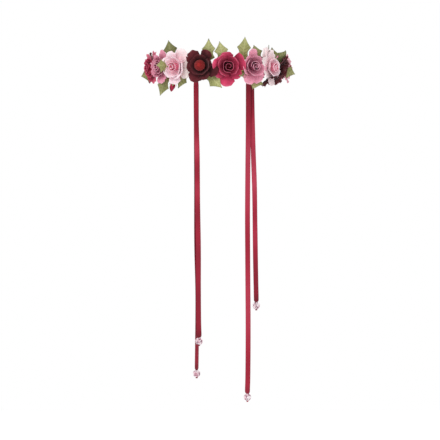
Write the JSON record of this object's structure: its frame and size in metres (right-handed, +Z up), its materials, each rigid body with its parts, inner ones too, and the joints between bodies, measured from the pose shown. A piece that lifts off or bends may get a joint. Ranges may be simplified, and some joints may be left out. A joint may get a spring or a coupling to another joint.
{
  "type": "flower crown",
  "caption": "Ring of paper roses and lobed leaves on a taped wire band, with beaded satin ribbon tails that hang and swing from knots behind.",
  "frame": {"origin": "centre of the wire ring, in its plane, which is the middle of the opening for the head", "axes": "+Z up out of the crown, -Y the front of the row of roses, +X to the right as seen from the front"},
  "size_m": [0.1974, 0.1782, 0.4673],
  "materials": {
    "burgundy_petals": "matt crinkled paper, near black in the folds",
    "burgundy_bud": "matt paper, brighter dark red",
    "raspberry_petals": "matt crinkled paper",
    "raspberry_bud": "matt rolled paper",
    "mauve_petals": "matt crinkled paper",
    "mauve_bud": "matt rolled paper",
    "pale_pink_petals": "matt crinkled paper, cream at the edges",
    "pale_pink_bud": "matt rolled paper",
    "leaf": "matt veined paper with grey edges",
    "calyx": "matt tape",
    "tape": "crinkled waxed floral tape",
    "wire": "bare steel wire",
    "ribbon": "satin",
    "bead": "cut and polished"
  },
  "bodies": {
    "crown": {"band_wire": "wire", "band_tape": "tape", "rose_01_petals": "burgundy_petals", "rose_01_bud": "burgundy_bud", "rose_01_calyx": "calyx", "rose_02_petals": "raspberry_petals", "rose_02_bud": "raspberry_bud", "rose_02_calyx": "calyx", "rose_03_petals": "mauve_petals", "rose_03_bud": "mauve_bud", "rose_03_calyx": "calyx", "rose_04_petals": "pale_pink_petals", "rose_04_bud": "pale_pink_bud", "rose_04_calyx": "calyx", "rose_05_petals": "burgundy_petals", "rose_05_bud": "burgundy_bud", "rose_05_calyx": "calyx", "rose_06_petals": "raspberry_petals", "rose_06_bud": "raspberry_bud", "rose_06_calyx": "calyx", "rose_07_petals": "mauve_petals", "rose_07_bud": "mauve_bud", "rose_07_calyx": "calyx", "rose_08_petals": "pale_pink_petals", "rose_08_bud": "pale_pink_bud", "rose_08_calyx": "calyx", "rose_09_petals": "burgundy_petals", "rose_09_bud": "burgundy_bud", "rose_09_calyx": "calyx", "rose_10_petals": "raspberry_petals", "rose_10_bud": "raspberry_bud", "rose_10_calyx": "calyx", "rose_11_petals": "mauve_petals", "rose_11_bud": "mauve_bud", "rose_11_calyx": "calyx", "leaf_01": "leaf", "leaf_02": "leaf", "leaf_03": "leaf", "leaf_04": "leaf", "leaf_05": "leaf", "leaf_06": "leaf", "leaf_07": "leaf", "leaf_08": "leaf", "leaf_09": "leaf", "leaf_10": "leaf", "leaf_11": "leaf", "leaf_12": "leaf", "leaf_13": "leaf", "leaf_14": "leaf", "hanging_rosebud": "raspberry_bud"},
    "left_streamers": {"left_ribbon_knot": "ribbon", "left_short_tail": "ribbon", "left_long_tail": "ribbon"},
    "left_short_bead": {"left_short_bead": "bead"},
    "left_long_bead": {"left_long_bead": "bead"},
    "right_streamers": {"right_ribbon_knot": "ribbon", "right_long_tail": "ribbon", "right_short_tail": "ribbon"},
    "right_long_bead": {"right_long_bead": "bead"},
    "right_short_bead": {"right_short_bead": "bead"}
  },
  "joints": [
    {"name": "left_streamers_swing", "type": "hinge", "parent": "crown", "child": "left_streamers", "pos_m": [-0.02791, 0.07069, 0], "axis": [1, 0, 0], "range_deg": [-60, 90]},
    {"name": "right_streamers_swing", "type": "hinge", "parent": "crown", "child": "right_streamers", "pos_m": [0.0416, 0.0636, 0], "axis": [1, 0, 0], "range_deg": [-60, 90]},
    {"name": "left_short_bead_turn", "type": "hinge", "parent": "left_streamers", "child": "left_short_bead", "pos_m": [-0.02411, 0.06659, -0.3502], "axis": [0, 0, 1], "continuous": true},
    {"name": "left_long_bead_turn", "type": "hinge", "parent": "left_streamers", "child": "left_long_bead", "pos_m": [-0.02731, 0.07549, -0.3922], "axis": [0, 0, 1], "continuous": true},
    {"name": "right_long_bead_turn", "type": "hinge", "parent": "right_streamers", "child": "right_long_bead", "pos_m": [0.0383, 0.0624, -0.4222], "axis": [0, 0, 1], "continuous": true},
    {"name": "right_short_bead_turn", "type": "hinge", "parent": "right_streamers", "child": "right_short_bead", "pos_m": [0.0497, 0.0648, -0.3042], "axis": [0, 0, 1], "continuous": true}
  ]
}
